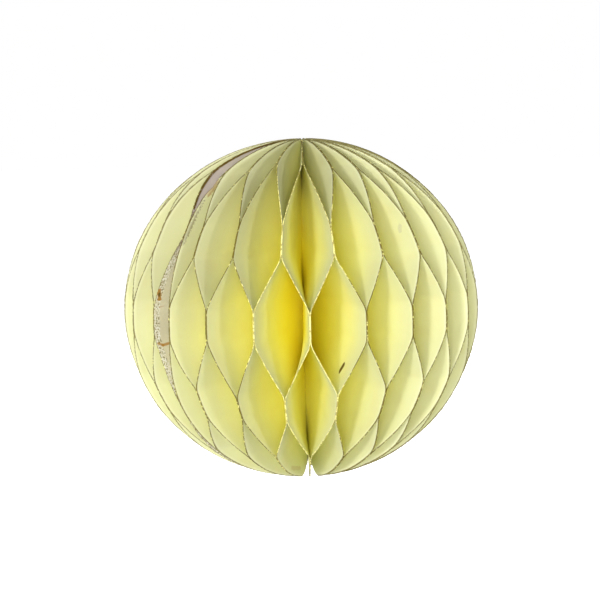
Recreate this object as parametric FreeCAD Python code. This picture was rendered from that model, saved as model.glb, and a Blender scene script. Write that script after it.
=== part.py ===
import FreeCAD, Part
import math
import os

# Driving dimensions, in millimetres unless a name says otherwise.
LEAF_COUNT = 47             # wavy leaves, an odd number
RIM_RADIUS = 50.0           # axis to the rim at the equator
RIM_HALF_HEIGHT = 47.75     # centre to where the rim would meet the axis
PAPER_THICKNESS = 0.20      # one wavy leaf
SHEET_THICKNESS = 0.20      # the flat sheet at the seam
CORNER_RADIUS = 2.2         # rounded corner between a leaf's spine and its rim

# The glue pattern: level strips, glued in turn to the left and the right neighbour.
GLUE_PITCH = 21.9           # from one level to the next
GLUE_HEIGHT = 6.2           # height of one glued strip
GLUE_SHIFT = 0.6            # the pattern sits this much above the leaf's middle
LOW_STRIP_EXTRA = 1.6       # the lowest strip reaches this much further up
BEND_HEIGHT = 2.6           # the paper turns from a strip into its straight flank over this height

# Where the seam is: degrees round the axis from the front, growing to the right.
SEAM_AZIMUTH_DEG = -45.3

# The ball is opened a little wider at its front. These count leaves to the right of the seam.
SPREAD_MIDDLE = 6.4         # where the leaves stand furthest apart
SPREAD_REACH = 5.0          # leaves on each side over which this dies away
SPREAD_SHARE = 0.17         # how much wider the widest wedge is than a plain one

# The torn nick in the flat sheet's rim, at the upper left.
NICK_HEIGHT = 36.0          # its middle, above the ball's centre
NICK_LENGTH = 4.2           # along the rim
NICK_DEPTH = 0.9            # into the sheet
NICK_RAGGED_SHARE = 0.7     # depth of its shallow teeth beside its deep ones

# How finely the bent paper is divided.
FLANK_STEPS = 3             # over the straight part of a flank
POLE_STEPS = 4              # over the last strip before each pole
NICK_TEETH = 3              # ragged points inside the nick

FRONT_AZIMUTH_DEG = -90.0   # the front is towards -Y, and a leaf is made along +X
MIN_STEP = 1e-4             # shorter stretches are left out

FULL_TURN_DEG = 360.0
HALF_PAPER = PAPER_THICKNESS / 2
HALF_SHEET = SHEET_THICKNESS / 2

# Levels of the glued strips, counted from the equator: even ones face one way, odd ones the other.
LEVELS = (-2, -1, 0, 1, 2)


def glue_strips():
    """Bottom, top and side (+1 or -1) of every glued strip, from the lowest to the highest."""
    strips = []
    for level in LEVELS:
        middle = GLUE_SHIFT + level * GLUE_PITCH
        low = middle - GLUE_HEIGHT / 2
        high = middle + GLUE_HEIGHT / 2
        if level == LEVELS[0]:
            high = high + LOW_STRIP_EXTRA
        side = 1 if level % 2 == 0 else -1
        strips.append((low, high, side))
    return strips


STRIPS = glue_strips()


def wedge_angles():
    """Degrees that each leaf has to itself, from the seam round to the right."""
    shares = []
    for number in range(1, LEAF_COUNT + 1):
        away = min(1.0, abs(number - 0.5 - SPREAD_MIDDLE) / SPREAD_REACH)
        shares.append(1.0 + SPREAD_SHARE * (1.0 + math.cos(math.pi * away)) / 2)
    return [FULL_TURN_DEG * share / sum(shares) for share in shares]


WEDGES_DEG = wedge_angles()


def wedge_slope(wedge_deg):
    """How fast a leaf's wedge widens on each side of its middle."""
    return math.tan(math.radians(wedge_deg) / 2)


def packed_radius(wedge_deg, room=0.0):
    """Distance from the axis at which the paper fills its wedge: the leaf's spine stands there."""
    return (HALF_PAPER + room / 2) / wedge_slope(wedge_deg)


def flank(rise, run):
    """How far the paper has crossed its wedge, from 0 to 1, this far up a flank of this height.

    It bends evenly out of one strip, runs straight, and bends evenly into the next.
    """
    slope = 1.0 / (run - BEND_HEIGHT)
    if rise < BEND_HEIGHT:
        return slope * rise ** 2 / (2 * BEND_HEIGHT)
    if rise > run - BEND_HEIGHT:
        return 1.0 - slope * (run - rise) ** 2 / (2 * BEND_HEIGHT)
    return slope * (rise - BEND_HEIGHT / 2)


def wave(height):
    """Where the bent leaf lies in its wedge: +1 at one wall, -1 at the other."""
    if height <= STRIPS[0][1]:
        return STRIPS[0][2]
    for below, above in zip(STRIPS, STRIPS[1:]):
        if height < above[0]:
            crossed = flank(height - below[1], above[0] - below[1])
            return below[2] * (1.0 - 2.0 * crossed)
        if height <= above[1]:
            return above[2]
    return STRIPS[-1][2]


def rim_radius(height):
    """Distance of the rim from the axis at this height."""
    share = min(1.0, abs(height) / RIM_HALF_HEIGHT)
    return RIM_RADIUS * math.sqrt(1.0 - share * share)


def rim_height(radius):
    """Height of the rim above the ball's centre at this distance from the axis."""
    return RIM_HALF_HEIGHT * math.sqrt(1.0 - (radius / RIM_RADIUS) ** 2)


def inner_radius(height, spine_radius):
    """The upright spine, and the rounded corner above it that runs out to the rim."""
    centre_height = rim_height(spine_radius + CORNER_RADIUS) - CORNER_RADIUS
    above = abs(height) - centre_height
    if above <= 0:
        return spine_radius
    reach = math.sqrt(max(0.0, CORNER_RADIUS ** 2 - above ** 2))
    return spine_radius + CORNER_RADIUS - reach


def tip_height(spine_radius):
    """The highest point of a leaf, where its rounded corner meets its rim."""
    return rim_height(spine_radius + CORNER_RADIUS)


def pole_heights(start, tip):
    """Heights from the last flank to a pole, at even turns of the rim's curve."""
    first = math.asin(start / RIM_HALF_HEIGHT)
    last = math.asin(tip / RIM_HALF_HEIGHT)
    turn = (last - first) / POLE_STEPS
    heights = [RIM_HALF_HEIGHT * math.sin(first + turn * step) for step in range(POLE_STEPS)]
    return heights + [tip]


def station_heights(spine_radius):
    """Heights of the straight lines, from spine to rim, that the bent leaf is drawn through."""
    tip = tip_height(spine_radius)
    heights = []
    for below, above in zip(STRIPS, STRIPS[1:]):
        straight_low = below[1] + BEND_HEIGHT
        straight_high = above[0] - BEND_HEIGHT
        step = (straight_high - straight_low) / FLANK_STEPS
        straight = [straight_low + step * index for index in range(FLANK_STEPS + 1)]
        heights += [below[1]] + straight + [above[0]]
    inside = [height for height in heights if abs(height) < tip - CORNER_RADIUS]
    low_end = pole_heights(-inside[0], tip)
    high_end = pole_heights(inside[-1], tip)
    return [-height for height in reversed(low_end[1:])] + inside + high_end[1:]


def leaf_rulings(side, wedge_deg, left_room, right_room):
    """Four corners of the paper at each height: inner and outer end of its right and left face.

    The leaf lies along +X in its wedge, whose right wall is at +Y. side turns the wave round.
    The rooms are taken off the wedge where the flat sheet lies beside the leaf.
    """
    slope = wedge_slope(wedge_deg)
    spine_radius = packed_radius(wedge_deg, left_room + right_room)
    rulings = []
    for height in station_heights(spine_radius):
        bend = side * wave(height)
        ends = []
        for radius in (inner_radius(height, spine_radius), rim_radius(height)):
            right_limit = radius * slope - HALF_PAPER - right_room
            left_limit = HALF_PAPER + left_room - radius * slope
            middle = (left_limit + right_limit) / 2 + bend * (right_limit - left_limit) / 2
            ends.append((radius, middle))
        inner, outer = ends
        rulings.append([
            FreeCAD.Vector(inner[0], inner[1] + HALF_PAPER, height),
            FreeCAD.Vector(outer[0], outer[1] + HALF_PAPER, height),
            FreeCAD.Vector(outer[0], outer[1] - HALF_PAPER, height),
            FreeCAD.Vector(inner[0], inner[1] - HALF_PAPER, height),
        ])
    return rulings


def flat_face(points):
    """A face through these points, or None where they shrink to a line."""
    corners = []
    for point in points:
        if all(point.distanceToPoint(other) > MIN_STEP for other in corners):
            corners.append(point)
    if len(corners) < 3:
        return None
    return Part.Face(Part.makePolygon(corners + [corners[0]]))


def strip_faces(lower, upper, first, second):
    """Two triangles between two rulings, on the side that these two corners name."""
    return [
        flat_face([lower[first], lower[second], upper[second]]),
        flat_face([lower[first], upper[second], upper[first]]),
    ]


def spine_face(rulings):
    """The flat, upright inner edge of the leaf, where it runs parallel to the axis."""
    upright = [ruling for ruling in rulings if ruling[0].x - rulings[len(rulings) // 2][0].x < MIN_STEP]
    return upright, flat_face([ruling[0] for ruling in upright] + [ruling[3] for ruling in reversed(upright)])


def bent_leaf(side, wedge_deg, left_room, right_room):
    """One wavy leaf of paper along +X."""
    rulings = leaf_rulings(side, wedge_deg, left_room, right_room)
    upright, inner_edge = spine_face(rulings)
    faces = [inner_edge]
    for lower, upper in zip(rulings, rulings[1:]):
        faces += strip_faces(lower, upper, 0, 1)
        faces += strip_faces(lower, upper, 1, 2)
        faces += strip_faces(lower, upper, 3, 2)
        if not (lower in upright and upper in upright):
            faces += strip_faces(lower, upper, 0, 3)
    shell = Part.Shell([face for face in faces if face is not None])
    solid = Part.Solid(shell)
    if solid.Volume < 0:
        solid.reverse()
    return solid


def sheet_outline():
    """The flat sheet's edge: spine, rounded corner, rim and rounded corner, in this order."""
    spine_radius = packed_radius(WEDGES_DEG[0])
    tip = tip_height(spine_radius)
    corner_height = tip - CORNER_RADIUS
    corner_middle = CORNER_RADIUS * (1 - math.sqrt(0.5))

    def on_edge(radius, height):
        return FreeCAD.Vector(radius, 0, height)

    def corner(sign):
        start = on_edge(spine_radius, sign * corner_height)
        middle = on_edge(spine_radius + corner_middle, sign * (tip - corner_middle))
        end = on_edge(spine_radius + CORNER_RADIUS, sign * tip)
        return Part.Arc(start, middle, end).toShape()

    spine = Part.LineSegment(on_edge(spine_radius, -corner_height), on_edge(spine_radius, corner_height))
    rim_end = spine_radius + CORNER_RADIUS
    round_tip = tip * RIM_RADIUS / RIM_HALF_HEIGHT
    round_rim = Part.Arc(on_edge(rim_end, round_tip), on_edge(RIM_RADIUS, 0), on_edge(rim_end, -round_tip))
    flattening = FreeCAD.Matrix()
    flattening.A33 = RIM_HALF_HEIGHT / RIM_RADIUS
    rim = round_rim.toShape().transformGeometry(flattening)
    return Part.Wire([spine.toShape(), corner(1), rim, corner(-1)])


def nick_cutter():
    """A ragged wedge that tears a small bite out of the flat sheet's rim."""
    middle = NICK_HEIGHT
    points = []
    for index in range(2 * NICK_TEETH + 1):
        share = index / (2 * NICK_TEETH)
        height = middle + (share - 0.5) * NICK_LENGTH
        depth = NICK_DEPTH * math.sin(math.pi * share)
        if index % 2 == 0:
            depth = depth * NICK_RAGGED_SHARE
        points.append(FreeCAD.Vector(rim_radius(height) - depth, -SHEET_THICKNESS, height))
    for height in (middle + NICK_LENGTH / 2, middle - NICK_LENGTH / 2):
        points.append(FreeCAD.Vector(RIM_RADIUS + NICK_DEPTH, -SHEET_THICKNESS, height))
    return flat_face(points).extrude(FreeCAD.Vector(0, 2 * SHEET_THICKNESS, 0))


def flat_sheet():
    """The flat end sheet along +X, centred on its own plane."""
    face = Part.Face(sheet_outline())
    face.translate(FreeCAD.Vector(0, -HALF_SHEET, 0))
    return face.extrude(FreeCAD.Vector(0, SHEET_THICKNESS, 0)).cut(nick_cutter())


def turned(shape, azimuth_deg):
    """A copy of the shape turned round the ball's axis to this azimuth."""
    copy = shape.copy()
    copy.rotate(FreeCAD.Vector(0, 0, 0), FreeCAD.Vector(0, 0, 1), FRONT_AZIMUTH_DEG + azimuth_deg)
    return copy


def all_pieces():
    """Every piece of the ball by name. The flat sheet lies between the last leaf and the first."""
    pieces = {"end_sheet": turned(flat_sheet(), SEAM_AZIMUTH_DEG)}
    wall = SEAM_AZIMUTH_DEG
    for number, wedge in enumerate(WEDGES_DEG, start=1):
        side = -1 if number % 2 else 1
        room = HALF_SHEET / math.cos(math.radians(wedge) / 2)
        left_room = room if number == 1 else 0.0
        right_room = room if number == LEAF_COUNT else 0.0
        leaf = bent_leaf(side, wedge, left_room, right_room)
        pieces["leaf_%02d" % number] = turned(leaf, wall + wedge / 2)
        wall = wall + wedge
    return pieces


def main():
    os.makedirs("parts", exist_ok=True)
    for name, piece in all_pieces().items():
        piece.exportStep(os.path.join("parts", name + ".step"))
        print(name, "valid", piece.isValid(), "volume %.2f mm3" % piece.Volume)


main()
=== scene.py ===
import math
import random

import bmesh
import bpy
from mathutils import Matrix, Vector, noise


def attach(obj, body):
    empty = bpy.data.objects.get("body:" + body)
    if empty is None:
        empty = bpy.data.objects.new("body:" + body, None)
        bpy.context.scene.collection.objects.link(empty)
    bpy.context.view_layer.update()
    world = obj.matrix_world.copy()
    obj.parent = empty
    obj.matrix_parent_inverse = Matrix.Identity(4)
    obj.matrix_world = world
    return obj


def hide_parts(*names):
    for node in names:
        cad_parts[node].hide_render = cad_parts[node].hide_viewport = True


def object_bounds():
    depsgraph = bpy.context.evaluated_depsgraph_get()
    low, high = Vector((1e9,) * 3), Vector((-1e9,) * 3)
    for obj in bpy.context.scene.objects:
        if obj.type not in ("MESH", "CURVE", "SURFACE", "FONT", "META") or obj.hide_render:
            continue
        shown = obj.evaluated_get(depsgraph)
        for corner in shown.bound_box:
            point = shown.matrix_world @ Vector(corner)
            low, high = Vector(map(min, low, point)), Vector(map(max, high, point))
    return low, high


bl_info = {
    "name": "Honeycomb Paper Ball",
    "version": (1, 0, 0),
    "blender": (4, 5, 0),
    "location": "View3D > Sidebar > Paper Ball",
    "description": "Bent paper leaves glued into a honeycomb ball, its flat end sheet and a plain studio",
    "category": "Add Mesh",
}

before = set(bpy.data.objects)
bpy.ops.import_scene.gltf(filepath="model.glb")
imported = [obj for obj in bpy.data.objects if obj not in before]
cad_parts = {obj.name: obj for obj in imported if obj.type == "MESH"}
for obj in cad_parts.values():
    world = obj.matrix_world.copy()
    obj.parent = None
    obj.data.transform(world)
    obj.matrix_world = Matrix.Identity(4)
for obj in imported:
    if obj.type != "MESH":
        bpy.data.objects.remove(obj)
CAD_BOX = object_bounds()

SHEET_NODE = "end_sheet"
LEAF_NODES = sorted(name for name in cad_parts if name.startswith("leaf_"))
LEAF_COUNT = len(LEAF_NODES)
BODY = "root"

# Levels of the glued strips, counted from the equator: even ones face one way, odd ones the other.
LEVELS = (-2, -1, 0, 1, 2)


def seam_azimuth():
    """Where the flat end sheet stands: the angle from the front, towards the right."""
    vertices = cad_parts[SHEET_NODE].data.vertices
    middle = sum((vertex.co for vertex in vertices), Vector()) / len(vertices)
    return math.atan2(middle.x, -middle.y)


def sheet_reach():
    """The flat sheet's greatest distance from the axis, and its top."""
    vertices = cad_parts[SHEET_NODE].data.vertices
    return max(vertex.co.xy.length for vertex in vertices), max(vertex.co.z for vertex in vertices)


SEAM_AZIMUTH = seam_azimuth()
RIM_RADIUS, TIP_HEIGHT = sheet_reach()


class LeafSettings(bpy.types.PropertyGroup):
    """Sizes of the leaves and of the glue pattern that bends them."""

    paper_thickness: bpy.props.FloatProperty(
        name="Paper", description="Thickness of a leaf", default=0.0002, unit="LENGTH")
    corner_radius: bpy.props.FloatProperty(
        name="Corner", description="Rounded corner between spine and rim", default=0.0022, unit="LENGTH")
    glue_pitch: bpy.props.FloatProperty(
        name="Glue pitch", description="From one glued level to the next", default=0.0219, unit="LENGTH")
    glue_height: bpy.props.FloatProperty(
        name="Glue height", description="Height of a glued strip", default=0.0062, unit="LENGTH")
    glue_shift: bpy.props.FloatProperty(
        name="Glue shift", description="Height of the middle level", default=0.0006, unit="LENGTH")
    low_strip_extra: bpy.props.FloatProperty(
        name="Low strip", description="The lowest strip reaches this much further up",
        default=0.0016, unit="LENGTH")
    bend_height: bpy.props.FloatProperty(
        name="Bend", description="Height over which the paper turns out of a strip",
        default=0.0026, unit="LENGTH")
    spread_middle: bpy.props.FloatProperty(
        name="Spread middle", description="Leaves to the right of the seam where they stand furthest apart",
        default=6.4)
    spread_reach: bpy.props.FloatProperty(
        name="Spread reach", description="Leaves on each side over which the spread dies away", default=5.0)
    spread_share: bpy.props.FloatProperty(
        name="Spread", description="How much wider the widest wedge is than a plain one",
        default=0.17, subtype="FACTOR")
    low_corner: bpy.props.FloatProperty(
        name="Low corner", description="Rounded corner at the foot of a leaf, worn wider than the top one",
        default=0.007, unit="LENGTH")
    front_trim: bpy.props.FloatProperty(
        name="Front trim", description="At the front the lower strips end this much short",
        default=0.0019, unit="LENGTH")
    top_trim: bpy.props.FloatProperty(
        name="Top trim", description="At the front the top strips start this much higher",
        default=0.0019, unit="LENGTH")
    peel: bpy.props.FloatProperty(
        name="Peel", description="The last leaf has come off the flat sheet over this height",
        default=0.0054, unit="LENGTH")
    seam_lean: bpy.props.FloatProperty(
        name="Seam lean", description="The flat sheet's lower half leans this far to the left",
        default=math.radians(3.8), unit="ROTATION")
    seam_lean_height: bpy.props.FloatProperty(
        name="Lean height", description="Below the equator, where the sheet has its full lean",
        default=0.026, unit="LENGTH")
    seam_lean_top: bpy.props.FloatProperty(
        name="Top lean", description="The flat sheet's upper half leans this far to the left",
        default=math.radians(1.2), unit="ROTATION")
    seam_lean_start: bpy.props.FloatProperty(
        name="Top lean start", description="Above the equator, where the seam starts to open",
        default=0.02, unit="LENGTH")
    seam_lean_end: bpy.props.FloatProperty(
        name="Top lean end", description="Above the equator, where the seam is fully open",
        default=0.037, unit="LENGTH")
    seam_gap: bpy.props.FloatProperty(
        name="Seam gap", description="At the top the last leaves stand off the flat sheet by this turn",
        default=math.radians(6.5), unit="ROTATION")
    seam_gap_reach: bpy.props.FloatProperty(
        name="Seam gap reach", description="Leaves beside the seam over which that turn dies away",
        default=7.0)
    spine_shift: bpy.props.FloatProperty(
        name="Spine shift", description="The leaves' spines stand this far to the right of the rims' centre",
        default=0.0005, unit="LENGTH")
    pole_shift: bpy.props.FloatProperty(
        name="Pole shift", description="The poles stand this much further to the right",
        default=0.0009, unit="LENGTH")
    strip_wander: bpy.props.FloatProperty(
        name="Strip wander", description="How far the ends of a glued strip stray",
        default=0.0005, unit="LENGTH")
    rim_wander: bpy.props.FloatProperty(
        name="Rim wander", description="How far back a leaf's rim may sit", default=0.0002, unit="LENGTH")
    tooth_depth: bpy.props.FloatProperty(
        name="Rim teeth", description="Depth of the fuzzy notches in the cut rim",
        default=0.00022, unit="LENGTH")
    rim_steps: bpy.props.IntProperty(
        name="Rim steps", description="Divisions along a leaf's rim", default=330, min=40)
    depth_steps: bpy.props.IntProperty(
        name="Depth steps", description="Divisions from spine to rim", default=8, min=2)


def colour_setting(name, description, value):
    """A colour that the panel lists."""
    return bpy.props.FloatVectorProperty(
        name=name, description=description, default=value, subtype="COLOR", min=0, max=1)


class PaperSettings(bpy.types.PropertyGroup):
    """Colours of the paper, some of them painted light and shade."""

    # Heart and middle are painted bounce light and shade: their deeper gold and brighter red towards the
    # axis stand in for the yellow light bounced inside the cells. The paler rim colour is partly faded
    # paper.
    heart: colour_setting("Heart", "Yellow of the sheltered paper near the axis", (0.97, 0.925, 0.10))
    middle: colour_setting("Middle", "Golden yellow half way out", (0.94, 0.925, 0.37))
    rim: colour_setting("Rim", "Faded yellow of the paper near the rim", (0.81, 0.82, 0.46))
    # Painted highlight: a pale fringe just inside the rim, standing in for the lit edge of the paper.
    rim_fringe_highlight: colour_setting("Bleached", "Pale fringe just inside the rim", (0.93, 0.93, 0.66))
    grey: colour_setting("Grey", "Grey-beige face beside the seam", (0.74, 0.69, 0.48))
    # Painted shade: the lilac grey at the top of the seam face stands in for the shadow that lies there.
    shaded_grey_top: colour_setting("Upper grey", "Lilac grey at the top of the seam", (0.66, 0.57, 0.50))
    # Dark olive of the rim: partly grime, partly painted shade; it is painted lighter at the front as a
    # glint of the lamps.
    soil_and_shade: colour_setting("Soiled", "Dark olive of handled paper at the rim", (0.19, 0.15, 0.025))
    # Painted glint: the cut rim is lighter at the front, where the lamps reflect; its bright beads are
    # partly bare fibres and partly painted glints.
    lit_front_edge: colour_setting("Front edge", "Cleaner cut rim at the front", (0.52, 0.46, 0.12))
    fibre_and_glint_edge: colour_setting("Bright edge", "Clean fibres of the cut rim", (0.95, 0.88, 0.34))
    rust: colour_setting("Rust", "Orange-brown stains", (0.44, 0.22, 0.035))
    # Dark brown of real specks, lines and stains; the blob where two leaves part at the rim uses it as
    # painted shade.
    dirt_and_shade: colour_setting("Dirt", "Dark brown specks and lines", (0.14, 0.09, 0.02))
    blotch: colour_setting("Blotch", "Grey-green of the discoloured outer paper", (0.62, 0.60, 0.38))


class StageSettings(bpy.types.PropertyGroup):
    """Camera, lamps and floor."""

    distance: bpy.props.FloatProperty(
        name="Distance", description="Camera to the middle of the ball", default=0.59, unit="LENGTH")
    elevation: bpy.props.FloatProperty(
        name="Elevation", description="Camera above the equator", default=math.radians(6.9), unit="ROTATION")
    roll: bpy.props.FloatProperty(
        name="Roll", description="Lean of the camera", default=math.radians(-1.38), unit="ROTATION")
    lens: bpy.props.FloatProperty(
        name="Lens", description="Focal length in millimetres on a 36 mm sensor", default=125.0)
    aim_side: bpy.props.FloatProperty(
        name="Aim side", description="The camera looks this far to the right of the ball's middle",
        default=-0.00032, unit="LENGTH")
    aim_up: bpy.props.FloatProperty(
        name="Aim up", description="The camera looks this far above the ball's middle",
        default=0.00206, unit="LENGTH")
    floor_drop: bpy.props.FloatProperty(
        name="Floor drop", description="Floor below the hung ball", default=0.12, unit="LENGTH")


def leaf_settings():
    return bpy.context.scene.paper_ball_leaves


def paper_settings():
    return bpy.context.scene.paper_ball_paper


def stage_settings():
    return bpy.context.scene.paper_ball_stage


# Shape of a leaf


FRONT_AZIMUTH = math.radians(-5)
FRONT_REACH = math.radians(40)


def eased(share):
    """A share clamped to 0 to 1 and eased at both ends."""
    share = min(1.0, max(0.0, share))
    return share * share * (3 - 2 * share)


class BallForm:
    """The ball's leading sizes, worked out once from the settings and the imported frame."""

    def __init__(self):
        self.sizes = leaf_settings()
        self.wedges = self.wedge_angles()
        rim_end = self.spine(self.wedges[0]) + self.sizes.corner_radius
        self.half_height = TIP_HEIGHT / math.sqrt(1 - (rim_end / RIM_RADIUS) ** 2)

    def wedge_angles(self):
        """Turn that each leaf has to itself, from the seam round to the right."""
        shares = []
        for number in range(1, LEAF_COUNT + 1):
            away = min(1.0, abs(number - 0.5 - self.sizes.spread_middle) / self.sizes.spread_reach)
            shares.append(1.0 + self.sizes.spread_share * (1.0 + math.cos(math.pi * away)) / 2)
        return [2 * math.pi * share / sum(shares) for share in shares]

    def wall(self, boundary):
        """Azimuth of the wall between two leaves, from the front towards the right."""
        return SEAM_AZIMUTH + sum(self.wedges[:boundary])

    def spine(self, wedge, room=0.0):
        """Distance from the axis at which the paper fills its wedge."""
        return (self.sizes.paper_thickness + room) / (2 * math.tan(wedge / 2))

    def corner(self, height):
        """The rounded corner's radius at the top or at the foot."""
        return self.sizes.corner_radius if height > 0 else self.sizes.low_corner

    def tip(self, spine, side):
        """Height at which the rounded corner meets the rim: side is +1 at the top, -1 at the foot."""
        rim_end = spine + self.corner(side)
        return side * self.half_height * math.sqrt(1 - (rim_end / RIM_RADIUS) ** 2)

    def rim_at(self, height):
        """Distance of the rim from the axis at this height."""
        share = min(1.0, abs(height) / self.half_height)
        return RIM_RADIUS * math.sqrt(1.0 - share * share)

    def inner_at(self, height, spine):
        """The upright spine, and the rounded corner that runs from it out to the rim."""
        corner = self.corner(height)
        side = 1 if height > 0 else -1
        beyond = abs(height) - (abs(self.tip(spine, side)) - corner)
        if beyond <= 0:
            return spine
        return spine + corner - math.sqrt(max(0.0, corner ** 2 - beyond ** 2))

    def row_height(self, row, spine):
        """Heights of a leaf's rows, evenly spaced along the rim's curve."""
        low = math.asin(self.tip(spine, -1) / self.half_height)
        high = math.asin(self.tip(spine, 1) / self.half_height)
        return self.half_height * math.sin(low + (high - low) * row / self.sizes.rim_steps)

    def lean(self, boundary, height):
        """Turn of the wall between two leaves at this height, to the left: most of them have none."""
        sizes = self.sizes
        high = eased((height - sizes.seam_lean_start) / (sizes.seam_lean_end - sizes.seam_lean_start))
        if boundary in (0, LEAF_COUNT):
            return -sizes.seam_lean * eased(-height / sizes.seam_lean_height) - sizes.seam_lean_top * high
        away = (LEAF_COUNT - boundary - 1) / sizes.seam_gap_reach
        return -sizes.seam_gap * max(0.0, 1.0 - away) * high

    def spine_offset(self, place):
        """How far the paper stands to the right here: most at the axis, nothing at the rim."""
        inwards = max(0.0, 1 - place.xy.length / RIM_RADIUS)
        polar = (place.z / self.half_height) ** 4
        return (self.sizes.spine_shift + self.sizes.pole_shift * polar) * inwards ** 2

    def strip_span(self, boundary, level):
        """Bottom and top of one glued strip. Both leaves that share it get the same uneven ends."""
        sizes = self.sizes
        middle = sizes.glue_shift + level * sizes.glue_pitch
        stray = random.Random(boundary * len(LEVELS) + level + 1)
        low = middle - sizes.glue_height / 2 + stray.uniform(-1, 1) * sizes.strip_wander
        high = middle + sizes.glue_height / 2 + stray.uniform(-1, 1) * sizes.strip_wander
        away = min(1.0, abs(self.wall(boundary) - FRONT_AZIMUTH) / FRONT_REACH)
        frontal = math.cos(away * math.pi / 2) ** 2
        trim = sizes.front_trim * frontal
        peel = sizes.peel if boundary == LEAF_COUNT else 0.0
        if level == LEVELS[0]:
            high += sizes.low_strip_extra
        elif level == LEVELS[-1]:
            low += sizes.top_trim * frontal
        elif level < 0:
            high -= trim + peel
        elif level > 0:
            low += peel
        return low, high

    def leaf_strips(self, number):
        """Bottom, top and side (+1 right, -1 left) of every strip that a leaf is glued along."""
        strips = []
        for level in LEVELS:
            side = 1 if (number + level) % 2 == 0 else -1
            boundary = number if side > 0 else number - 1
            low, high = self.strip_span(boundary, level)
            strips.append((low, high, side))
        return strips


def crossed(rise, run):
    """How far the paper has crossed its wedge, from 0 to 1, this far up a flank of this height."""
    bend = leaf_settings().bend_height
    slope = 1.0 / (run - bend)
    if rise < bend:
        return slope * rise ** 2 / (2 * bend)
    if rise > run - bend:
        return 1.0 - slope * (run - rise) ** 2 / (2 * bend)
    return slope * (rise - bend / 2)


def fanned(share, start_reach, end_reach):
    """The crossing where the paper fans out from a short strip to a longer one, or the other way."""
    return share * end_reach / (start_reach * (1.0 - share) + end_reach * share)


def wave_at(form, height, strips):
    """Where the bent leaf lies in its wedge: +1 at the right wall, -1 at the left wall."""
    if height <= strips[0][1]:
        return strips[0][2]
    for below, above in zip(strips, strips[1:]):
        if height < above[0]:
            share = crossed(height - below[1], above[0] - below[1])
            return below[2] * (1.0 - 2.0 * fanned(share, form.rim_at(below[1]), form.rim_at(above[0])))
        if height <= above[1]:
            return above[2]
    return strips[-1][2]


def rim_fuzz(number, count):
    """Set-back of each rim point: small notches on a slow waver, the same on each run."""
    sizes = leaf_settings()
    notches = random.Random(1000 + number)
    slow = 0.06
    fuzz = []
    for index in range(count):
        waver = 0.5 + 0.5 * noise.noise(Vector((index * slow, number * 3.7, 0.0)))
        deep = notches.random() * (1.0 if index % 2 else 0.25)
        fuzz.append(waver * sizes.rim_wander + deep * sizes.tooth_depth)
    return fuzz


def grid_shares(bm):
    """Each grid vertex with its share from spine to rim and its row up the leaf."""
    sizes = leaf_settings()
    rows = sizes.rim_steps
    places = []
    for vertex in bm.verts:
        across = vertex.co.x + 0.5
        row = round((vertex.co.y + 0.5) * rows)
        places.append((vertex, across, row))
    return places


def new_grid():
    """A flat grid one unit across: X becomes spine to rim, Y becomes bottom to top."""
    sizes = leaf_settings()
    bm = bmesh.new()
    bmesh.ops.create_grid(bm, x_segments=sizes.depth_steps, y_segments=sizes.rim_steps, size=0.5)
    return bm


def close_tips(bm):
    """Joins the points that fall together at the two tips."""
    bmesh.ops.remove_doubles(bm, verts=bm.verts, dist=1e-6)


def give_thickness(bm, thickness):
    """Turns the laid-out face into paper: a second face behind it, joined round the edge."""
    moved = bmesh.ops.extrude_face_region(bm, geom=bm.faces[:], use_keep_orig=True)["geom"]
    corners = [item for item in moved if isinstance(item, bmesh.types.BMVert)]
    bmesh.ops.translate(bm, verts=corners, vec=(0, -thickness, 0))
    bmesh.ops.recalc_face_normals(bm, faces=bm.faces)


SHARP_ANGLE = math.radians(50)


def mark_faces(bm, right_material, left_material, edge_material):
    """Material by face: right face, left face and cut edge. The cut edge keeps sharp sides."""
    side_share = 0.5
    for face in bm.faces:
        face.smooth = True
        if face.normal.y > side_share:
            face.material_index = right_material
        elif face.normal.y < -side_share:
            face.material_index = left_material
        else:
            face.material_index = edge_material
    for edge in bm.edges:
        if edge.is_manifold and edge.calc_face_angle() > SHARP_ANGLE:
            edge.smooth = False


def finish_piece(form, bm, name, azimuth, materials):
    """Turns the piece to its place round the axis and makes it an object."""
    turn = Matrix.Rotation(azimuth - math.pi / 2, 3, "Z")
    bmesh.ops.rotate(bm, verts=bm.verts, cent=(0, 0, 0), matrix=turn)
    for vertex in bm.verts:
        vertex.co.x += form.spine_offset(vertex.co)
    mesh = bpy.data.meshes.new(name)
    bm.to_mesh(mesh)
    bm.free()
    for material in materials:
        mesh.materials.append(material)
    piece = bpy.data.objects.new(name, mesh)
    bpy.context.scene.collection.objects.link(piece)
    return piece


def wavy_leaf(form, number, materials):
    """One bent leaf: a grid laid between the walls of its wedge, then given the paper's thickness."""
    first, last = number == 1, number == LEAF_COUNT
    wedge = form.wedges[number - 1]
    slope = math.tan(wedge / 2)
    half = form.sizes.paper_thickness / 2
    room = half / math.cos(wedge / 2)
    left_room = room if first else 0.0
    right_room = room if last else 0.0
    spine = form.spine(wedge, left_room + right_room)
    strips = form.leaf_strips(number)
    fuzz = rim_fuzz(number, form.sizes.rim_steps + 1)
    bm = new_grid()
    for vertex, across, row in grid_shares(bm):
        height = form.row_height(row, spine)
        inner = form.inner_at(height, spine)
        outer = max(inner, form.rim_at(height) - fuzz[row])
        radius = inner + across * (outer - inner)
        right_limit = radius * (slope + form.lean(number, height)) - half - right_room
        left_limit = half + left_room - radius * (slope - form.lean(number - 1, height))
        wave = wave_at(form, height, strips)
        middle = (left_limit + right_limit) / 2 + wave * (right_limit - left_limit) / 2
        vertex.co = (radius, middle + half, height)
    close_tips(bm)
    give_thickness(bm, form.sizes.paper_thickness)
    mark_faces(bm, 1 if last else 0, 0, len(materials) - 1)
    azimuth = (form.wall(number - 1) + form.wall(number)) / 2
    return finish_piece(form, bm, "paper_" + LEAF_NODES[number - 1], azimuth, materials)


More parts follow.
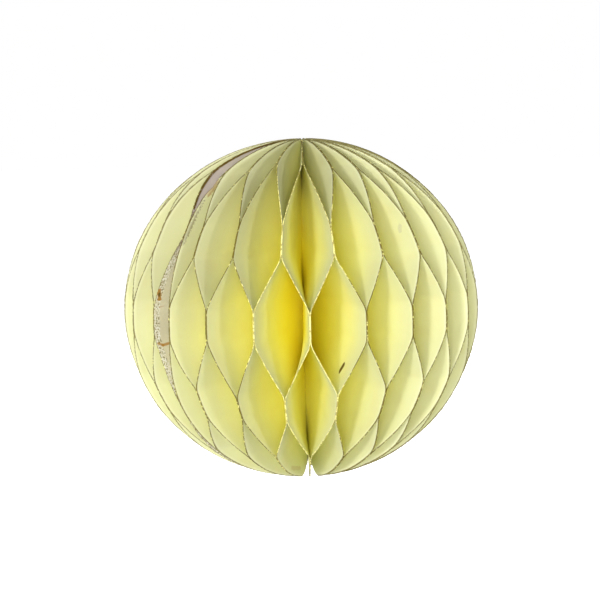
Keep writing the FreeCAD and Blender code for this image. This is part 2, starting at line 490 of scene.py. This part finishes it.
def flat_leaf(form, materials):
    """The flat end sheet, with its torn nick."""
    spine = form.spine(form.wedges[0])
    fuzz = rim_fuzz(0, form.sizes.rim_steps + 1)
    bm = new_grid()
    for vertex, across, row in grid_shares(bm):
        height = form.row_height(row, spine)
        inner = form.inner_at(height, spine)
        outer = max(inner, form.rim_at(height) - fuzz[row] - nick_depth(height))
        radius = inner + across * (outer - inner)
        vertex.co = (radius, radius * form.lean(0, height) + form.sizes.paper_thickness / 2, height)
    close_tips(bm)
    give_thickness(bm, form.sizes.paper_thickness)
    mark_faces(bm, 0, 0, len(materials) - 1)
    return finish_piece(form, bm, "paper_end_sheet", SEAM_AZIMUTH, materials)


NICK_HEIGHT = 0.036
NICK_LENGTH = 0.0042
NICK_DEPTH = 0.0009


def nick_depth(height):
    """Depth of the torn nick at this height, ragged along its floor."""
    share = (height - NICK_HEIGHT) / NICK_LENGTH + 0.5
    if not 0 < share < 1:
        return 0.0
    ragged = 0.8 + 0.3 * noise.noise(Vector((share * 9.0, 0.0, 5.0)))
    return NICK_DEPTH * math.sin(math.pi * share) * ragged


# Marks: name, colour, strength, reach, raggedness, grain of the ragged border, and the points passed

SEAM_MARKS = (
    ("rust", "rust", 0.95, 0.0008, 0.0008, 1300.0,
     ((-0.0379, -0.0305, 0.0090), (-0.0380, -0.0296, 0.0067))),
    ("rust_core", "dirt_and_shade", 0.9, 0.00045, 0.0003, 1300.0,
     ((-0.0380, -0.0301, 0.0082), (-0.0380, -0.0300, 0.0076))),
    ("faint_line", "rust", 0.35, 0.00025, 0.0002, 1500.0,
     ((-0.0383, -0.0293, 0.0045), (-0.0358, -0.0270, 0.0048))),
    ("smile", "rust", 0.85, 0.0005, 0.0003, 1500.0,
     ((-0.0386, -0.0303, -0.0052), (-0.0374, -0.0295, -0.0058), (-0.0360, -0.0283, -0.0055))),
    ("nick", "rust", 0.9, 0.0013, 0.0014, 1100.0,
     ((-0.0247, -0.0233, 0.0345), (-0.0222, -0.0205, 0.0372))),
    ("seam_dirt", "dirt_and_shade", 0.75, 0.0007, 0.0022, 1900.0,
     ((-0.0257, -0.0240, 0.0335), (-0.0312, -0.0313, 0.0215))),
)
YELLOW_MARKS = SEAM_MARKS[-2:] + (
    ("fleck", "dirt_and_shade", 1.0, 0.0011, 0.0003, 1800.0,
     ((0.0107, -0.0387, -0.0110), (0.0099, -0.0379, -0.0126))),
    ("grey_spot", "blotch", 0.6, 0.0009, 0.001, 900.0,
     ((0.0270, -0.0283, 0.0247), (0.0270, -0.0283, 0.0237))),
    ("touches", "rust", 0.25, 0.0008, 0.001, 900.0,
     ((-0.0037, -0.0166, -0.0429), (-0.0015, -0.0093, -0.0444))),
    # Painted shade: a dark blob where two leaves part at the rim, standing in for the shade in that small
    # gap.
    ("gap_shade_blob", "dirt_and_shade", 0.9, 0.0005, 0.0003, 1500.0,
     ((0.0089, -0.0452, 0.0193), (0.0088, -0.0448, 0.0188))),
    ("top_line", "dirt_and_shade", 0.7, 0.0003, 0.0004, 1500.0,
     ((-0.0091, -0.0090, 0.0454), (-0.0037, -0.0046, 0.0473))),
    ("outer_blotch", "blotch", 0.3, 0.03, 0.02, 120.0,
     ((-0.036, -0.022, 0.020), (-0.008, -0.020, 0.044))),
)


# Materials


def new_material(name):
    """An empty node material with its output."""
    material = bpy.data.materials.new(name)
    material.use_nodes = True
    material.node_tree.nodes.clear()
    return material, material.node_tree


def add_node(tree, kind, label, **values):
    """A labelled node with its settings."""
    node = tree.nodes.new(kind)
    node.label = label
    for key, value in values.items():
        setattr(node, key, value)
    return node


def math_node(tree, operation, first, second, label):
    """A Math node whose inputs are sockets or numbers."""
    node = add_node(tree, "ShaderNodeMath", label, operation=operation)
    for socket, value in zip(node.inputs, (first, second)):
        if isinstance(value, (int, float)):
            socket.default_value = value
        elif value is not None:
            tree.links.new(value, socket)
    return node.outputs[0]


def mix_colours(tree, factor, first, second, label, blend="MIX"):
    """A colour mix whose inputs are sockets, numbers or colours."""
    node = add_node(tree, "ShaderNodeMix", label, data_type="RGBA", blend_type=blend)
    for socket, value in ((node.inputs[0], factor), (node.inputs[6], first), (node.inputs[7], second)):
        if isinstance(value, bpy.types.NodeSocket):
            tree.links.new(value, socket)
        elif isinstance(value, (int, float)):
            socket.default_value = value
        else:
            socket.default_value = (value[0], value[1], value[2], 1.0)
    return node.outputs[2]


def noise_node(tree, vector, scale, detail, label):
    """A noise pattern's value, from 0 to 1."""
    node = add_node(tree, "ShaderNodeTexNoise", label)
    node.inputs["Scale"].default_value = scale
    node.inputs["Detail"].default_value = detail
    tree.links.new(vector, node.inputs["Vector"])
    return node.outputs["Fac"]


def ramp_node(tree, value, low, high, label):
    """Clamps a stretch of values to 0 to 1, eased at both ends."""
    node = add_node(tree, "ShaderNodeMapRange", label, interpolation_type="SMOOTHSTEP")
    node.inputs["From Min"].default_value = low
    node.inputs["From Max"].default_value = high
    tree.links.new(value, node.inputs["Value"])
    return node.outputs["Result"]


def vector_node(tree, operation, first, second, label):
    """A Vector Math node whose inputs are sockets or vectors."""
    node = add_node(tree, "ShaderNodeVectorMath", label, operation=operation)
    for socket, value in zip(node.inputs, (first, second)):
        if isinstance(value, bpy.types.NodeSocket):
            tree.links.new(value, socket)
        elif value is not None:
            socket.default_value = value
    is_number = operation in ("LENGTH", "DISTANCE", "DOT_PRODUCT")
    return node.outputs["Value" if is_number else "Vector"]


def new_group(name, vectors, numbers, outputs):
    """An empty shader group with its named inputs and outputs."""
    group = bpy.data.node_groups.new(name, "ShaderNodeTree")
    for label in vectors:
        group.interface.new_socket(label, in_out="INPUT", socket_type="NodeSocketVector")
    for label in numbers:
        group.interface.new_socket(label, in_out="INPUT", socket_type="NodeSocketFloat")
    for label in outputs:
        group.interface.new_socket(label, in_out="OUTPUT", socket_type="NodeSocketFloat")
    start = group.nodes.new("NodeGroupInput")
    end = group.nodes.new("NodeGroupOutput")
    return group, start.outputs, end.inputs


# The front region, where the rims are painted lighter as glints of the lamps.
FRONT_MIDDLE = (-0.001, 0.0, 0.0)
FRONT_SIZE = (0.014, 1.0, 0.045)


def paper_group():
    """Shader group: how far out and how near the front a point lies, and the paper's patterns."""
    group, given, out = new_group(
        "paper_surface", ("Vector",), (),
        ("Outwards", "Height", "Front", "Mottle", "Patches", "Specks", "Fibres"))
    place = given["Vector"]
    unit = (1 / RIM_RADIUS, 1 / RIM_RADIUS, 1 / BallForm().half_height)
    scaled = vector_node(group, "MULTIPLY", place, unit, "ball to unit sphere")
    group.links.new(vector_node(group, "LENGTH", scaled, None, "outwards"), out["Outwards"])
    axes = add_node(group, "ShaderNodeSeparateXYZ", "across, back and up")
    group.links.new(place, axes.inputs[0])
    group.links.new(axes.outputs["Z"], out["Height"])
    shifted = vector_node(group, "SUBTRACT", place, FRONT_MIDDLE, "from the front's middle")
    shares = vector_node(group, "DIVIDE", shifted, FRONT_SIZE, "in front sizes")
    distance = vector_node(group, "LENGTH", shares, None, "front distance")
    near = ramp_node(group, distance, 1.15, 0.75, "near the front")
    ahead = ramp_node(group, axes.outputs["Y"], -0.012, -0.018, "front half")
    group.links.new(math_node(group, "MULTIPLY", near, ahead, "front mask"), out["Front"])
    cloud = noise_node(group, place, 90.0, 4.0, "slow mottle")
    speck = noise_node(group, place, 1400.0, 2.0, "fine mottle")
    mottle = math_node(group, "MULTIPLY_ADD", speck, 0.4, "mottle")
    group.links.new(cloud, mottle.node.inputs[2])
    group.links.new(mottle, out["Mottle"])
    group.links.new(noise_node(group, place, 150.0, 1.0, "hue patches"), out["Patches"])
    group.links.new(noise_node(group, place, 2400.0, 2.0, "specks"), out["Specks"])
    group.links.new(noise_node(group, place, 3000.0, 3.0, "fibres"), out["Fibres"])
    return group


def stroke_group():
    """Shader group: 1 along the line from Start to End, fading at Reach from it, with a ragged border."""
    group, given, out = new_group(
        "stroke_mark", ("Vector", "Start", "End"), ("Reach", "Ragged", "Grain"), ("Mask",))
    along = vector_node(group, "SUBTRACT", given["End"], given["Start"], "along the mark")
    away = vector_node(group, "SUBTRACT", given["Vector"], given["Start"], "from its start")
    done = vector_node(group, "DOT_PRODUCT", away, along, "passed")
    whole = vector_node(group, "DOT_PRODUCT", along, along, "whole")
    share = math_node(group, "DIVIDE", done, whole, "share of its length")
    share.node.use_clamp = True
    nearest = vector_node(group, "SCALE", along, None, "nearest point")
    group.links.new(share, nearest.node.inputs["Scale"])
    gap = vector_node(group, "DISTANCE", away, nearest, "distance from the mark")
    rough = noise_node(group, given["Vector"], 1.0, 3.0, "ragged border")
    group.links.new(given["Grain"], rough.node.inputs["Scale"])
    centred = math_node(group, "SUBTRACT", rough, 0.5, "both ways")
    strayed = math_node(group, "MULTIPLY_ADD", centred, given["Ragged"], "ragged distance")
    group.links.new(gap, strayed.node.inputs[2])
    mask = ramp_node(group, strayed, 1.0, 0.0, "mark")
    group.links.new(given["Reach"], mask.node.inputs["From Min"])
    core = math_node(group, "MULTIPLY", given["Reach"], 0.5, "full within")
    group.links.new(core, mask.node.inputs["From Max"])
    group.links.new(mask, out["Mask"])
    return group


def add_marks(tree, colour, marks):
    """Paints stains and lines over a colour."""
    look = paper_settings()
    stroke = bpy.data.node_groups["stroke_mark"]
    place = add_node(tree, "ShaderNodeTexCoord", "place on the ball")
    for name, tint, strength, reach, ragged, grain, points in marks:
        for start, end in zip(points, points[1:]):
            mark = add_node(tree, "ShaderNodeGroup", name, node_tree=stroke)
            tree.links.new(place.outputs["Object"], mark.inputs["Vector"])
            mark.inputs["Start"].default_value = start
            mark.inputs["End"].default_value = end
            for label, value in (("Reach", reach), ("Ragged", ragged), ("Grain", grain)):
                mark.inputs[label].default_value = value
            mask = math_node(tree, "MULTIPLY", mark.outputs["Mask"], strength, name + " strength")
            colour = mix_colours(tree, mask, colour, getattr(look, tint), name)
    return colour


def paper_shader(tree, colour, height, roughness=0.8, specular=0.15):
    """A matt paper surface with its fibre relief."""
    bump = add_node(tree, "ShaderNodeBump", "fibre relief")
    bump.inputs["Strength"].default_value = 0.25
    bump.inputs["Distance"].default_value = 0.00005
    tree.links.new(height, bump.inputs["Height"])
    shader = add_node(tree, "ShaderNodeBsdfPrincipled", "paper")
    shader.inputs["Roughness"].default_value = roughness
    shader.inputs["Specular IOR Level"].default_value = specular
    tree.links.new(colour, shader.inputs["Base Color"])
    tree.links.new(bump.outputs["Normal"], shader.inputs["Normal"])
    output = add_node(tree, "ShaderNodeOutputMaterial", "output")
    tree.links.new(shader.outputs[0], output.inputs["Surface"])


def surface_values(tree):
    """The shared paper group placed in a material, fed with Object coordinates."""
    place = add_node(tree, "ShaderNodeTexCoord", "place on the ball")
    group = bpy.data.node_groups["paper_surface"]
    surface = add_node(tree, "ShaderNodeGroup", "paper surface", node_tree=group)
    tree.links.new(place.outputs["Object"], surface.inputs["Vector"])
    return surface.outputs


def ragged_rim(tree, surface, low, high, label):
    """Mask of the paper next to its rim, with a ragged inner border."""
    stray = math_node(tree, "MULTIPLY_ADD", surface["Specks"], 0.006, label + " stray")
    tree.links.new(surface["Outwards"], stray.node.inputs[2])
    return ramp_node(tree, stray, low + 0.003, high + 0.003, label)


def yellow_paper():
    """Pale yellow paper, partly faded towards the rim, with painted bounce light and shade that turn it
    golden towards the axis.
    """
    look = paper_settings()
    material, tree = new_material("yellow_leaf_paper")
    surface = surface_values(tree)
    # Painted bounce light and shade: golden and brighter towards the axis, for the light bounced deep in the
    # cells; the pale rim is partly faded paper.
    deep = ramp_node(tree, surface["Outwards"], 0.25, 0.74, "from the heart")
    outer = ramp_node(tree, surface["Outwards"], 0.66, 0.98, "paler towards the rim")
    inner = mix_colours(tree, deep, look.heart, look.middle, "heart to middle")
    colour = mix_colours(tree, outer, inner, look.rim, "middle to rim")
    patches = ramp_node(tree, surface["Patches"], 0.45, 0.75, "warm patches")
    warm = math_node(tree, "MULTIPLY", patches, 0.35, "patch strength")
    colour = mix_colours(tree, warm, colour, (1.0, 0.93, 0.80), "warm patches of paper", "MULTIPLY")
    shade = ramp_node(tree, surface["Mottle"], 0.45, 0.95, "mottle strength")
    soft = math_node(tree, "MULTIPLY", shade, 0.12, "weak mottle")
    colour = mix_colours(tree, soft, colour, (0.70, 0.62, 0.22), "mottled paper")
    colour = add_marks(tree, colour, YELLOW_MARKS)
    # Painted highlight: a paler fringe just inside the rim, for the lit edge of the paper.
    near_rim = ramp_node(tree, surface["Outwards"], 0.975, 0.99, "fringe")
    fringe = math_node(tree, "MULTIPLY", near_rim, 0.4, "pale")
    colour = mix_colours(tree, fringe, colour, look.rim_fringe_highlight, "bleached fringe")
    # Dark olive lip along the rim, partly grime and partly painted shade. At the front it is weaker: a
    # painted glint where the lamps reflect.
    lip = ragged_rim(tree, surface, 0.9925, 0.9965, "soiled lip")
    rim_darkening_share = math_node(tree, "MULTIPLY_ADD", surface["Front"], -0.75, "painted glint at the front")
    rim_darkening_share.node.inputs[2].default_value = 0.85
    soil_and_shade = math_node(tree, "MULTIPLY", lip, rim_darkening_share, "dark_rim_share")
    colour = mix_colours(tree, soil_and_shade, colour, look.soil_and_shade, "soiled rim")
    paper_shader(tree, colour, surface["Fibres"])
    return material


def grey_paper():
    """The grey-beige face beside the seam, with painted shade in lilac grey at the top, brown-edged at the
    top, speckled at the rim.
    """
    look = paper_settings()
    material, tree = new_material("grey_seam_face")
    surface = surface_values(tree)
    # Painted shade: the face turns lilac grey towards the top, where it lies in shadow.
    upper = ramp_node(tree, surface["Height"], 0.016, 0.026, "upper band")
    base = mix_colours(tree, upper, look.grey, look.shaded_grey_top, "beige to lilac")
    shade = ramp_node(tree, surface["Mottle"], 0.45, 0.95, "mottle strength")
    soft = math_node(tree, "MULTIPLY", shade, 0.35, "weak mottle")
    colour = mix_colours(tree, soft, base, (0.42, 0.38, 0.28), "mottled grey")
    lower = math_node(tree, "SUBTRACT", 1.0, upper, "below the upper band")
    worn = ragged_rim(tree, surface, 0.958, 0.968, "worn rim")
    rim = math_node(tree, "MULTIPLY", worn, lower, "speckled rim")
    pale_specks = ramp_node(tree, surface["Specks"], 0.52, 0.60, "pale specks")
    pale = math_node(tree, "MULTIPLY", rim, pale_specks, "pale rim")
    colour = mix_colours(tree, pale, colour, (0.90, 0.88, 0.78), "pale rim specks")
    dark_specks = ramp_node(tree, surface["Specks"], 0.44, 0.36, "dark specks")
    dark = math_node(tree, "MULTIPLY", rim, dark_specks, "dark rim")
    colour = mix_colours(tree, dark, colour, look.soil_and_shade, "dark rim specks")
    runs = ramp_node(tree, surface["Mottle"], 0.5, 0.68, "brown runs")
    patchy = math_node(tree, "MULTIPLY", runs, upper, "upper runs")
    browned = ragged_rim(tree, surface, 0.984, 0.99, "browned rim")
    edge = math_node(tree, "MULTIPLY", browned, patchy, "browned edge")
    colour = mix_colours(tree, edge, colour, look.dirt_and_shade, "browned upper edge")
    colour = add_marks(tree, colour, SEAM_MARKS)
    paper_shader(tree, colour, surface["Fibres"])
    return material


def cut_edge():
    """The fuzzy cut rim: dark olive of grime and painted shade, with bright beads of bare fibres and painted
    glints between them, most of them at the front, where the lamps reflect.
    """
    look = paper_settings()
    material, tree = new_material("cut_paper_edge")
    surface = surface_values(tree)
    place = add_node(tree, "ShaderNodeTexCoord", "place on the ball")
    # Painted glints: bright beads, more of them at the front, and a lighter cut rim there, where the lamps
    # reflect.
    beads = noise_node(tree, place.outputs["Object"], 1100.0, 1.0, "beads along the cut")
    more = math_node(tree, "MULTIPLY_ADD", surface["Front"], 0.14, "more at the front")
    tree.links.new(beads, more.node.inputs[2])
    bright = ramp_node(tree, more, 0.58, 0.66, "bright beads")
    plain = mix_colours(tree, surface["Front"], look.soil_and_shade, look.lit_front_edge, "painted glint at the front")
    colour = mix_colours(tree, bright, plain, look.fibre_and_glint_edge, "cut fibres")
    colour = add_marks(tree, colour, SEAM_MARKS)
    paper_shader(tree, colour, surface["Fibres"], 0.9, 0.1)
    return material


def ball_materials():
    """The three finishes, made once and then found again by name."""
    names = ("yellow_leaf_paper", "grey_seam_face", "cut_paper_edge")
    if names[0] not in bpy.data.materials:
        paper_group()
        stroke_group()
        yellow_paper()
        grey_paper()
        cut_edge()
    return [bpy.data.materials[name] for name in names]


# Operators


class PAPERBALL_OT_leaves(bpy.types.Operator):
    """Adds the bent leaves round the axis, each in place of its plain solid."""

    bl_idname = "paper_ball.leaves"
    bl_label = "Add Bent Leaves"

    def execute(self, context):
        yellow, grey, edge = ball_materials()
        form = BallForm()
        for number, node in enumerate(LEAF_NODES, start=1):
            last = number == LEAF_COUNT
            piece = wavy_leaf(form, number, [yellow, grey, edge] if last else [yellow, edge])
            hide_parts(node)
            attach(piece, BODY)
        return {"FINISHED"}


class PAPERBALL_OT_end_sheet(bpy.types.Operator):
    """Adds the flat end sheet at the seam, in place of its plain solid."""

    bl_idname = "paper_ball.end_sheet"
    bl_label = "Add Flat End Sheet"

    def execute(self, context):
        yellow, _, edge = ball_materials()
        piece = flat_leaf(BallForm(), [yellow, edge])
        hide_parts(SHEET_NODE)
        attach(piece, BODY)
        return {"FINISHED"}


# Lamps: name, azimuth from the front towards the right, elevation, size in metres, power in watts
LAMPS = (
    ("front_lamp", -3, 3, 0.35, 4.7),
    ("high_lamp", -12, 42, 0.5, 2.4),
    ("left_key", -21.5, 8, 0.16, 5.5),
    ("right_key", 38, 8, 0.16, 2.3),
    ("far_left_lamp", -55, 8, 0.6, 0.9),
    ("back_lamp", 180, 15, 0.6, 5.5),
    ("back_left_lamp", -138, 15, 0.6, 3.2),
    ("back_right_lamp", 130, 15, 0.6, 3.4),
)
LAMP_DISTANCE = 1.2
WORLD_FILL = 0.15


def studio_floor(drop):
    """A wide pale floor below the hung ball. It looks white where no shadow falls on it."""
    bm = bmesh.new()
    bmesh.ops.create_grid(bm, x_segments=1, y_segments=1, size=4.0)
    bmesh.ops.translate(bm, verts=bm.verts, vec=(0, 0, CAD_BOX[0][2] - drop))
    mesh = bpy.data.meshes.new("studio_floor")
    bm.to_mesh(mesh)
    bm.free()
    floor = bpy.data.objects.new("studio_floor", mesh)
    bpy.context.scene.collection.objects.link(floor)
    material, tree = new_material("pale_floor")
    seen = add_node(tree, "ShaderNodeLightPath", "what looks at the floor")
    place = add_node(tree, "ShaderNodeTexCoord", "place on the floor")
    level = add_node(tree, "ShaderNodeVectorMath", "across the floor", operation="MULTIPLY")
    level.inputs[1].default_value = (1, 1, 0)
    tree.links.new(place.outputs["Object"], level.inputs[0])
    away = add_node(tree, "ShaderNodeVectorMath", "away from the ball", operation="LENGTH")
    tree.links.new(level.outputs["Vector"], away.inputs[0])
    far = ramp_node(tree, away.outputs["Value"], 0.2, 0.8, "far from the ball")
    rise = math_node(tree, "MULTIPLY_ADD", far, 0.3, "whiter with distance")
    rise.node.inputs[2].default_value = 0.7
    lift = math_node(tree, "MULTIPLY", seen.outputs["Is Camera Ray"], rise, "lift to white")
    shader = add_node(tree, "ShaderNodeBsdfPrincipled", "floor")
    shader.inputs["Base Color"].default_value = (0.85, 0.85, 0.85, 1)
    shader.inputs["Roughness"].default_value = 0.9
    shader.inputs["Emission Color"].default_value = (1, 1, 1, 1)
    tree.links.new(lift, shader.inputs["Emission Strength"])
    output = add_node(tree, "ShaderNodeOutputMaterial", "output")
    tree.links.new(shader.outputs[0], output.inputs["Surface"])
    mesh.materials.append(material)
    return floor


def studio_world():
    """A white backdrop that lights the ball softly."""
    world = bpy.data.worlds.new("studio_world")
    bpy.context.scene.world = world
    world.use_nodes = True
    tree = world.node_tree
    tree.nodes.clear()
    path = add_node(tree, "ShaderNodeLightPath", "what looks at the backdrop")
    seen = path.outputs["Is Camera Ray"]
    strength = math_node(tree, "MULTIPLY_ADD", seen, 1.0 - WORLD_FILL, "white for the camera")
    strength.node.inputs[2].default_value = WORLD_FILL
    background = add_node(tree, "ShaderNodeBackground", "backdrop")
    tree.links.new(strength, background.inputs["Strength"])
    background.inputs["Color"].default_value = (1, 1, 1, 1)
    output = add_node(tree, "ShaderNodeOutputWorld", "output")
    tree.links.new(background.outputs[0], output.inputs["Surface"])


def soft_lamp(name, azimuth, elevation, size, power):
    """A square lamp that looks at the ball's middle. Its angles are in degrees."""
    lamp = bpy.data.lights.new(name, "AREA")
    lamp.size = size
    lamp.energy = power
    holder = bpy.data.objects.new(name, lamp)
    azimuth, elevation = math.radians(azimuth), math.radians(elevation)
    across = LAMP_DISTANCE * math.cos(elevation)
    height = LAMP_DISTANCE * math.sin(elevation)
    place = Vector((across * math.sin(azimuth), -across * math.cos(azimuth), height))
    holder.location = place
    holder.rotation_euler = (-place).to_track_quat("-Z", "Y").to_euler()
    bpy.context.scene.collection.objects.link(holder)


def studio_camera():
    """The camera at the photograph's view."""
    view = stage_settings()
    camera = bpy.data.cameras.new("camera")
    camera.lens = view.lens
    camera.sensor_width = 36.0
    camera.clip_start = 0.01
    holder = bpy.data.objects.new("camera", camera)
    place = Vector((0, -math.cos(view.elevation), math.sin(view.elevation))) * view.distance
    upwards = Vector((0, math.sin(view.elevation), math.cos(view.elevation)))
    aim = Vector((view.aim_side, 0, 0)) + upwards * view.aim_up
    look = (aim - place).to_track_quat("-Z", "Y")
    holder.location = place
    holder.rotation_euler = (look.to_matrix() @ Matrix.Rotation(view.roll, 3, "Z")).to_euler()
    bpy.context.scene.collection.objects.link(holder)
    bpy.context.scene.camera = holder


class PAPERBALL_OT_stage(bpy.types.Operator):
    """Adds the floor, the backdrop, the lamps and the camera."""

    bl_idname = "paper_ball.stage"
    bl_label = "Add Studio"

    def execute(self, context):
        view = stage_settings()
        studio_floor(view.floor_drop)
        studio_world()
        for lamp in LAMPS:
            soft_lamp(*lamp)
        studio_camera()
        context.scene.view_settings.view_transform = "Standard"
        context.scene.cycles.max_bounces = 16
        context.scene.cycles.diffuse_bounces = 16
        return {"FINISHED"}


class PAPERBALL_PT_panel(bpy.types.Panel):
    """Lists the steps and their settings in the sidebar."""

    bl_label = "Paper Ball"
    bl_idname = "PAPERBALL_PT_panel"
    bl_space_type = "VIEW_3D"
    bl_region_type = "UI"
    bl_category = "Paper Ball"

    def draw(self, context):
        layout = self.layout
        for operator in OPERATORS:
            layout.operator(operator.bl_idname)
        for settings in (leaf_settings(), paper_settings(), stage_settings()):
            box = layout.box()
            for key in settings.__annotations__:
                box.prop(settings, key)


SETTINGS = (LeafSettings, PaperSettings, StageSettings)
OPERATORS = (PAPERBALL_OT_leaves, PAPERBALL_OT_end_sheet, PAPERBALL_OT_stage)


def register():
    for item in SETTINGS + OPERATORS + (PAPERBALL_PT_panel,):
        bpy.utils.register_class(item)
    bpy.types.Scene.paper_ball_leaves = bpy.props.PointerProperty(type=LeafSettings)
    bpy.types.Scene.paper_ball_paper = bpy.props.PointerProperty(type=PaperSettings)
    bpy.types.Scene.paper_ball_stage = bpy.props.PointerProperty(type=StageSettings)


def unregister():
    del bpy.types.Scene.paper_ball_leaves
    del bpy.types.Scene.paper_ball_paper
    del bpy.types.Scene.paper_ball_stage
    for item in reversed(SETTINGS + OPERATORS + (PAPERBALL_PT_panel,)):
        bpy.utils.unregister_class(item)


def main():
    register()
    bpy.ops.paper_ball.leaves()
    bpy.ops.paper_ball.end_sheet()
    bpy.ops.paper_ball.stage()


if __name__ == "__main__":
    main()
